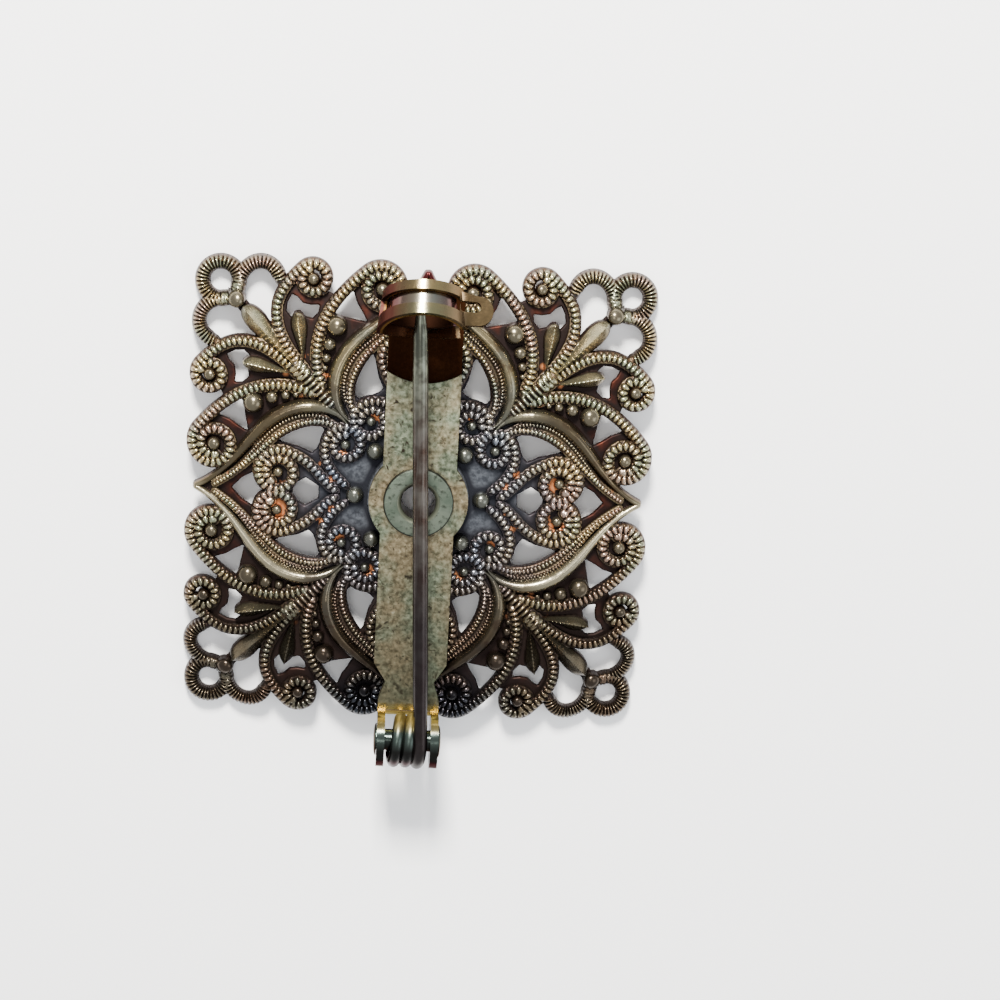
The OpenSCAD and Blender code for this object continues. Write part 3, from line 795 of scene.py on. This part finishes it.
def antique_finish():
    """Milled stamping: crests rubbed bright, brown flanks, dark hollows and a coppery sheet.

    Warm outside and cool in the middle, darker and browner to the hinge side, and nearly black by the hinge
    as painted shade. The outer ogee rods carry painted shade on the catch half and a painted highlight on the
    hinge half.
    """
    f = Finish("antique_brass")
    crest, plain, flank, rim, web, leaf, ember, hollow, proud = [f.value(name) for name in VALUES]
    x, y, z = f.axes()
    aside = (x * x) ** 0.5
    middle = 1 - ((x * x + y * y) ** 0.5).between(6.5, 11.0)
    shade = (0 - y).between(1.0, 10.0)
    deep = (0 - y).between(11.5, 14.5) * (1 - aside.between(4.0, 8.0))
    cloud = f.noise(420.0, 3.0)
    fine = f.noise(2600.0, 4.0, 0.6)
    patch = f.noise(900.0, 2.0)
    drift = f.noise(230.0, 2.0)
    warm = f.blend(cloud.between(0.40, 0.60), (0.41, 0.325, 0.175), (0.27, 0.285, 0.19))
    warm = f.blend(drift.between(0.52, 0.64), warm, (0.36, 0.25, 0.19))
    cool = f.blend(cloud.between(0.40, 0.60), (0.25, 0.225, 0.195), (0.175, 0.195, 0.235))
    bright = f.blend(middle, warm, cool)
    groove = f.blend(patch.between(0.40, 0.60), (0.090, 0.056, 0.031), (0.048, 0.040, 0.034))
    groove = f.blend(middle, groove, (0.034, 0.029, 0.032))
    rod = f.blend(cloud.between(0.42, 0.60), (0.19, 0.155, 0.085), (0.125, 0.115, 0.080))
    rod = f.blend(fine.between(0.60, 0.80), rod, (0.10, 0.070, 0.040))
    rod = f.blend(patch.between(0.54, 0.62) * 0.7, rod, (0.085, 0.055, 0.030))
    ball = leaf.between(0.3, 0.45)
    outer = aside.between(7.0, 9.0) * (1 - ball)
    # Painted light on the outer ogee rods: painted shade on those of the catch half and a painted highlight
    # on those of the hinge half.
    rod = f.blend(outer * y.between(-0.5, 0.5) * 0.75, rod, (0.055, 0.040, 0.024))
    rod = f.blend(outer * (0 - y).between(-0.5, 0.5) * 0.6, rod, (0.42, 0.38, 0.26))
    rod = f.blend(middle * (1 - outer), rod, (0.105, 0.108, 0.090))
    rod = f.blend(ball * (1 - middle) * 0.8, rod, (0.115, 0.098, 0.066))
    blade = f.blend(cloud.between(0.40, 0.60), (0.40, 0.34, 0.20), (0.27, 0.27, 0.18))
    rod = f.blend(leaf.between(0.6, 0.9), rod, blade)
    olive = f.blend(patch.between(0.42, 0.62), (0.120, 0.092, 0.050), (0.070, 0.048, 0.028))
    olive = f.blend(middle, olive, (0.042, 0.037, 0.040))
    brown = f.blend(patch.between(0.42, 0.62), (0.046, 0.018, 0.010), (0.070, 0.019, 0.010))
    brown = f.blend(middle * 0.8, brown, (0.020, 0.016, 0.018))
    copper = f.blend(patch.between(0.42, 0.70), (0.016, 0.005, 0.004), (0.085, 0.020, 0.010))
    grey = f.blend(fine.between(0.40, 0.65), (0.042, 0.046, 0.054), (0.125, 0.134, 0.150))
    dark = f.blend(middle, (0.013, 0.008, 0.007), (0.016, 0.017, 0.022))
    colour = f.blend(crest.between(0.25, 0.85), groove, bright)
    colour = f.blend(plain, colour, rod)
    colour = f.blend(flank, colour, f.blend(rim, olive, brown))
    colour = f.blend(web, colour, f.blend(middle, copper, grey))
    low = (hollow * 1.1 - proud * 0.6 + (fine - 0.5) * 0.4) * (0.35 + web * 0.65) * (1 - plain)
    colour = f.blend(low, colour, dark)
    lower = f.blend(drift.between(0.44, 0.58), (0.052, 0.043, 0.036), (0.072, 0.045, 0.028))
    lower = f.blend(plain, lower, (0.105, 0.088, 0.062))
    glow = ember * (1 - crest.between(0.1, 0.4)) * (1 - plain) * patch.between(0.50, 0.55)
    colour = f.blend(glow, colour, (0.42, 0.165, 0.065))
    knob = (y - 14.85).between(0, 0.3) * (1 - aside.between(0.5, 0.7))
    colour = f.blend(knob, colour, (0.050, 0.009, 0.009))
    # Darker towards the hinge side; the outer rods there resist it and keep their painted highlight.
    shaded = f.blend(crest, (0.018, 0.011, 0.009), lower)
    colour = f.blend(shade * (0.84 - plain * outer * 0.40), colour, shaded)
    # Painted shade by the hinge: nearly black, with the crests a little lighter and bluer.
    hinge_shade_colour = f.blend(crest.between(0.5, 1.0), (0.004, 0.005, 0.008), (0.022, 0.028, 0.042))
    colour = f.blend(deep * 0.85, colour, hinge_shade_colour)
    rough = 0.42 - crest * 0.25 - plain * 0.19 + hollow * web * 0.20 + (fine - 0.5) * 0.22
    return f.wear(colour, rough, 0.92, fine, 0.00004, 0.4)


# Tint of the brass where it is seen at a low angle
BRASS_TINT = (0.45, 0.38, 0.34, 1.0)


def hinge_shading(f, colour, y):
    """The colour as it goes round the hinge, painted as light and shade: golden before it, green-grey painted
    shade on it, near black painted shade further on, and dark red behind it.
    """
    gold = f.blend((-14.0 - y).between(0, 0.8), colour, (0.22, 0.165, 0.048))
    slate = f.blend((-15.3 - y).between(0, 0.7), gold, (0.036, 0.048, 0.042))
    black = f.blend((-16.5 - y).between(0, 0.8), slate, (0.010, 0.010, 0.009))
    return f.blend((-17.9 - y).between(0, 0.4), black, (0.022, 0.002, 0.005))


def inside_barrel(x, y, z, room):
    """1 where a place is nearer to the barrel's leaning axis than its tapered outside less that room."""
    lean = np.radians(CATCH_TILT)
    back, up = y - CATCH_Y, z - CATCH_Z
    along = back * np.cos(lean) - up * np.sin(lean)
    square = back * np.sin(lean) + up * np.cos(lean)
    wall = BARREL_R - room - (along - BARREL_START) * BARREL_TAPER
    to_axis = ((x - CATCH_X) ** 2 + square**2) ** 0.5
    return (wall - to_axis).between(0, 0.06)


def bar_finish():
    """Flat strip: mottled green-grey and tan with a pitted grain, its pale specks painted glints. Its catch
    is smooth brass with painted shade on its sides and near black painted shade inside, and its painted
    shadow lies on the dished end below it. Round the hinge, light and shade are painted.

    The zones are set by place: the catch stands above the bar's top, its inside is nearer to its axis than
    the middle of its wall, the dished end lies below the bar's top, and the hinge is behind the neck.
    """
    f = Finish("bar_brass")
    x, y, z = f.axes()
    cloud = f.noise(300.0, 4.0)
    grain = f.noise(3200.0, 4.0, 0.65)
    scratch = f.node("ShaderNodeTexNoise", Vector=f.place, Scale=1500.0, Detail=2.0, Distortion=1.5)
    tan = f.blend(grain.between(0.35, 0.65), (0.080, 0.062, 0.035), (0.26, 0.215, 0.130))
    green = f.blend(grain.between(0.35, 0.65), (0.050, 0.060, 0.038), (0.200, 0.228, 0.155))
    strip = f.blend(cloud.between(0.42, 0.60), tan, green)
    strip = f.blend((y - 5.5).between(0, 4.0) * 0.5, strip, green)
    strip = f.blend(scratch.between(0.60, 0.70), strip, (0.024, 0.019, 0.013))
    # Pale specks on the grain: painted glints on its bumps.
    strip = f.blend(grain.between(0.66, 0.74), strip, (0.34, 0.32, 0.22))
    strip = f.blend((0 - y).between(2.0, 14.0) * 0.62, strip, (0.030, 0.030, 0.018))
    smooth = f.blend(cloud.between(0.40, 0.62), (0.17, 0.13, 0.062), (0.115, 0.108, 0.060))
    smooth = f.blend(grain.between(0.62, 0.78), smooth, (0.10, 0.055, 0.035))
    # Painted shade on the catch's round sides: dark red-brown to the left and pinkish brown to the right.
    smooth = f.blend((CATCH_X - 0.3 - x).between(0, 1.8), smooth, (0.035, 0.012, 0.009))
    smooth = f.blend((x - CATCH_X - 0.8).between(0, 1.2) * 0.7, smooth, (0.095, 0.055, 0.032))
    lip = f.blend(cloud.between(0.44, 0.56), (0.030, 0.019, 0.009), (0.060, 0.042, 0.020))
    smooth = f.blend((x - CATCH_X - 2.6).between(0, 0.3) * 0.9, smooth, lip)
    # Light and shade painted round the hinge.
    smooth = hinge_shading(f, smooth, y)
    raised = z.between(BAR_TOP + 0.1, BAR_TOP + 0.4)
    hinge = (-14.5 - y).between(0, 0.6)
    raised = raised.maths("MAXIMUM", hinge)
    colour = f.blend(raised, strip, smooth)
    # Painted shade: near black inside the barrel and, as the barrel's painted shadow, on the dished end below
    # it; higher up inside the barrel it turns brown, painted dim light.
    catch_end = y.between(8.0, 8.1)
    within = inside_barrel(x, y, z, BARREL_T / 2) * catch_end
    sunk = (BAR_TOP - 0.12 - z).between(0, 0.2) * catch_end
    inside = within.maths("MAXIMUM", sunk)
    barrel_shade_colour = f.blend(cloud.between(0.4, 0.6), (0.026, 0.0085, 0.0034), (0.036, 0.013, 0.005))
    barrel_shade_colour = f.blend(within * z.between(6.2, 8.6), barrel_shade_colour, (0.16, 0.085, 0.025))
    colour = f.blend(inside, colour, barrel_shade_colour)
    rough = 0.38 + (grain - 0.5) * (0.35 - raised * 0.25) - raised * 0.22 + sunk * 0.50
    aside = (((x - CATCH_X) ** 2) ** 0.5).between(0.9, 1.9) - (x - CATCH_X).between(2.4, 2.7)
    rough = rough + raised * aside * catch_end * 0.22
    pits = (grain + scratch * 0.5) * (1 - raised * 0.8)
    f.shader.inputs["Specular Tint"].default_value = BRASS_TINT
    return f.wear(colour, rough, 0.88 + sunk * 0.12, pits, 0.00005, 0.5)


def catch_finish():
    """Turning sleeve and axle: smooth half-bright brass, greenish in patches, with painted shade brown to the
    sides and near black inside the sleeve, and light and shade painted round the hinge.
    """
    f = Finish("catch_brass")
    x, y, z = f.axes()
    cloud = f.noise(260.0, 3.0)
    grain = f.noise(2400.0, 3.0)
    colour = f.blend(cloud.between(0.40, 0.62), (0.19, 0.16, 0.11), (0.125, 0.13, 0.115))
    colour = f.blend(grain.between(0.60, 0.78), colour, (0.12, 0.075, 0.05))
    # Painted shade on the sleeve's round sides.
    colour = f.blend((((x - CATCH_X) ** 2) ** 0.5).between(0.6, 1.8), colour, (0.070, 0.036, 0.036))
    # Painted shade inside the sleeve.
    inside = inside_barrel(x, y, z, SLEEVE_ROOM) * y.between(8.0, 8.1)
    colour = f.blend(inside, colour, (0.016, 0.006, 0.003))
    # Light and shade painted round the hinge.
    colour = hinge_shading(f, colour, y)
    rough = 0.18 + (cloud - 0.5) * 0.2 + inside * 0.4
    f.shader.inputs["Specular Tint"].default_value = BRASS_TINT
    return f.wear(colour, rough, 0.95, grain, 0.00002, 0.3)


def rivet_finish():
    """Hollow rivet: green-grey satin brass, with a painted highlight on the bore's chamfer and painted shade
    on the head's outer edge, in the bore and below the bar's top.
    """
    f = Finish("rivet_brass")
    x, y, z = f.axes()
    cloud = f.noise(500.0, 3.0)
    grain = f.noise(3000.0, 4.0)
    colour = f.blend(cloud.between(0.40, 0.60), (0.085, 0.108, 0.080), (0.135, 0.158, 0.120))
    colour = f.blend(grain.between(0.52, 0.72), colour, (0.018, 0.022, 0.016))
    off = (x * x + y * y) ** 0.5
    # A painted highlight on the bore's chamfer, then painted shade on the head's outer edge, in the bore and
    # below the bar's top.
    chamfer = (1.50 - off).between(0, 0.06) * (off - (BORE_R - 0.02)).between(0, 0.04)
    colour = f.blend(chamfer, colour, (0.13, 0.14, 0.10))
    colour = f.blend((off - 2.32).between(0, 0.06), colour, (0.010, 0.010, 0.008))
    colour = f.blend((BORE_R + 0.02 - off).between(0, 0.02), colour, (0.020, 0.010, 0.006))
    colour = f.blend((BAR_TOP - z).between(-0.15, 0.1), colour, (0.020, 0.012, 0.008))
    return f.wear(colour, 0.34 + (grain - 0.5) * 0.3, 0.88, grain, 0.00003, 0.4)


def wire_finish():
    """Pin: browned drawn wire, dark, with fine lines along it, and tinted golden on its coil, with light and
    shade painted round the hinge.
    """
    f = Finish("pin_steel")
    x, y, z = f.axes()
    cloud = f.noise(700.0, 4.0)
    place = f.node("ShaderNodeMapping", Vector=f.place, Scale=(4.0, 0.15, 4.0))
    drawn = f.node("ShaderNodeTexNoise", Vector=place, Scale=1400.0, Detail=2.0)
    colour = f.blend(cloud.between(0.38, 0.62), (0.032, 0.020, 0.015), (0.070, 0.062, 0.054))
    colour = f.blend(drawn.between(0.55, 0.75) * 0.6, colour, (0.11, 0.10, 0.09))
    steel = f.blend(cloud.between(0.44, 0.58), (0.055, 0.058, 0.045), (0.15, 0.165, 0.125))
    colour = f.blend(y.between(5.0, 11.0), colour, steel)
    colour = f.blend((1.0 - y).between(0, 9.0) * 0.85, colour, (0.012, 0.009, 0.010))
    # The coil is tinted golden, with light and shade painted round the hinge.
    coil = (0.45 - x).between(0, 0.1) * (HINGE_Y + COIL_R + 0.8 - y).between(0, 0.1)
    colour = f.blend(coil, colour, hinge_shading(f, (0.13, 0.105, 0.05), y))
    return f.wear(colour, 0.32 + (cloud - 0.5) * 0.3, 0.9, drawn + cloud, 0.00002, 0.35)


# Operators


class BROOCH_PG_sizes(bpy.types.PropertyGroup):
    """Sizes and colours that a user would change."""

    lens: bpy.props.FloatProperty(
        name="Lens", description="Focal length of the camera", default=78.7, unit="CAMERA"
    )
    floor_shade: bpy.props.FloatVectorProperty(
        name="Floor", description="Colour of the floor", subtype="COLOR", size=3, default=(1.0, 1.0, 1.0)
    )
    edge_round: bpy.props.FloatProperty(
        name="Edge rounding",
        description="Width of the rounded edges of the bar and catch, in millimetres",
        default=0.09,
    )


class BROOCH_OT_stamping(bpy.types.Operator):
    """Builds the pierced stamping in eight equal pieces."""

    bl_idname = "brooch.stamping"
    bl_label = "Stamping"

    def execute(self, context):
        finish = antique_finish()
        points, faces, values = stamping_eighth()
        for turn, side in enumerate(("right", "catch", "left", "hinge")):
            angle = turn * np.pi / 2
            along = np.round([np.cos(angle), np.sin(angle)])
            across = np.round([-np.sin(angle), np.cos(angle)])
            for hand, half in ((1, "first"), (-1, "second")):
                plan = points[:, :1] * along + hand * points[:, 1:2] * across
                turned = np.concatenate([plan, points[:, 2:]], 1)
                name = f"stamping_{side}_{half}"
                piece = make_mesh(name, turned, faces[:, ::hand], "brooch", finish, 70)
                add_values(piece, **values)
                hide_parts("filigree")
        return {"FINISHED"}


class BROOCH_OT_bar(bpy.types.Operator):
    """Rounds the edges of the pin bar, its catch and its hinge knuckles, and builds the rivet."""

    bl_idname = "brooch.bar"
    bl_label = "Bar, catch and rivet"

    def execute(self, context):
        width = context.scene.brooch_sizes.edge_round
        bar = cad_copy("pin_bar", "bar_with_catch", "brooch", bar_finish(), width)
        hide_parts("pin_bar")
        catch = catch_finish()
        sleeve = cad_copy("catch_sleeve", "turning_sleeve", "sleeve", catch, width * 0.7)
        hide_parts("catch_sleeve")
        profile = np.concatenate([np.array(RIVET_HEAD) + (0, BAR_TOP), RIVET_SHANK])
        around = 96
        points = lathe(profile, around, (0, 0, 0))
        faces = grid_faces(len(profile), around, True, True)
        rivet = make_mesh("hollow_rivet", points, faces, "brooch", rivet_finish(), 28)
        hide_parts("rivet")
        return {"FINISHED"}


class BROOCH_OT_pin(bpy.types.Operator):
    """Builds the hinge's axle and the coiled and pointed pin."""

    bl_idname = "brooch.pin"
    bl_label = "Pin and axle"

    def execute(self, context):
        profile = axle_profile()
        around = 48
        end = HINGE_HALF + HEAD_OUT
        centres = [(end, HINGE_Y, HINGE_Z), (-end, HINGE_Y, HINGE_Z)]
        points = np.concatenate([lathe(profile, around, (0, HINGE_Y, HINGE_Z), "x"), centres])
        faces = closed_tube(len(profile), around)
        axle = make_mesh("hinge_pin", points, faces, "axle", catch_finish())
        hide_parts("hinge_axle")
        path, radii = wire_line()
        around = 24
        points = np.concatenate([swept_tube(path, radii, around), [path[0], path[-1]]])
        faces = closed_tube(len(path), around)[:, ::-1]
        wire = make_mesh("pin", points, faces, "pin", wire_finish())
        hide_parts("pin_wire")
        return {"FINISHED"}


class BROOCH_OT_stage(bpy.types.Operator):
    """Sets the pale floor, the soft studio light and the camera."""

    bl_idname = "brooch.stage"
    bl_label = "Stage"

    def execute(self, context):
        sizes = context.scene.brooch_sizes
        floor_mesh = bpy.data.meshes.new("floor")
        floor_mesh.from_pydata(FLOOR, [], [(0, 1, 2, 3)])
        floor = placed("floor", floor_mesh)
        f = Finish("pale_floor")
        floor_mesh.materials.append(f.wear(tuple(sizes.floor_shade), 0.6, 0.0))
        world = bpy.data.worlds.new("studio")
        context.scene.world = world
        world.use_nodes = True
        sky = world.node_tree.nodes["Background"].inputs
        sky[0].default_value = WORLD_COLOUR
        sky[1].default_value = WORLD_STRENGTH
        for name, place, size, power, colour in LAMPS:
            lamp = bpy.data.lights.new(name, "AREA")
            lamp.size = size
            lamp.energy = power
            lamp.color = colour
            lit = placed(name, lamp)
            lit.location = place
            lit.rotation_euler = (Vector(LAMP_TARGET) - Vector(place)).to_track_quat("-Z", "Y").to_euler()
        tip, lean, turn = np.radians(CAMERA_ANGLES)
        turned = Matrix.Rotation(turn, 3, "Z") @ Matrix.Rotation(tip, 3, "X") @ Matrix.Rotation(lean, 3, "Y")
        matrix = turned.transposed().to_4x4()
        target = Vector((0, SEAT, CAMERA_TARGET_Z))
        matrix.translation = (target + matrix @ Vector((0, 0, CAMERA_DISTANCE))) * MM
        view = bpy.data.cameras.new("camera")
        view.lens = sizes.lens
        view.sensor_width = SENSOR_WIDTH
        view.shift_x, view.shift_y = CAMERA_SHIFT
        view.clip_start = 0.01
        camera = placed("camera", view)
        camera.matrix_world = matrix
        context.scene.camera = camera
        return {"FINISHED"}


class BROOCH_PT_panel(bpy.types.Panel):
    """Lists the steps and the sizes."""

    bl_label = "Filigree Brooch"
    bl_idname = "BROOCH_PT_panel"
    bl_space_type = "VIEW_3D"
    bl_region_type = "UI"
    bl_category = "Brooch"

    def draw(self, context):
        sizes = context.scene.brooch_sizes
        for name in ("lens", "floor_shade", "edge_round"):
            self.layout.prop(sizes, name)
        for step in STEPS:
            self.layout.operator(step.bl_idname)


STEPS = (BROOCH_OT_stage, BROOCH_OT_stamping, BROOCH_OT_bar, BROOCH_OT_pin)


def register():
    for part in (BROOCH_PG_sizes, *STEPS, BROOCH_PT_panel):
        bpy.utils.register_class(part)
    bpy.types.Scene.brooch_sizes = bpy.props.PointerProperty(type=BROOCH_PG_sizes)


def unregister():
    del bpy.types.Scene.brooch_sizes
    for part in reversed((BROOCH_PG_sizes, *STEPS, BROOCH_PT_panel)):
        bpy.utils.unregister_class(part)


def main():
    register()
    bpy.ops.brooch.stage()
    bpy.ops.brooch.stamping()
    bpy.ops.brooch.bar()
    bpy.ops.brooch.pin()


if __name__ == "__main__":
    main()
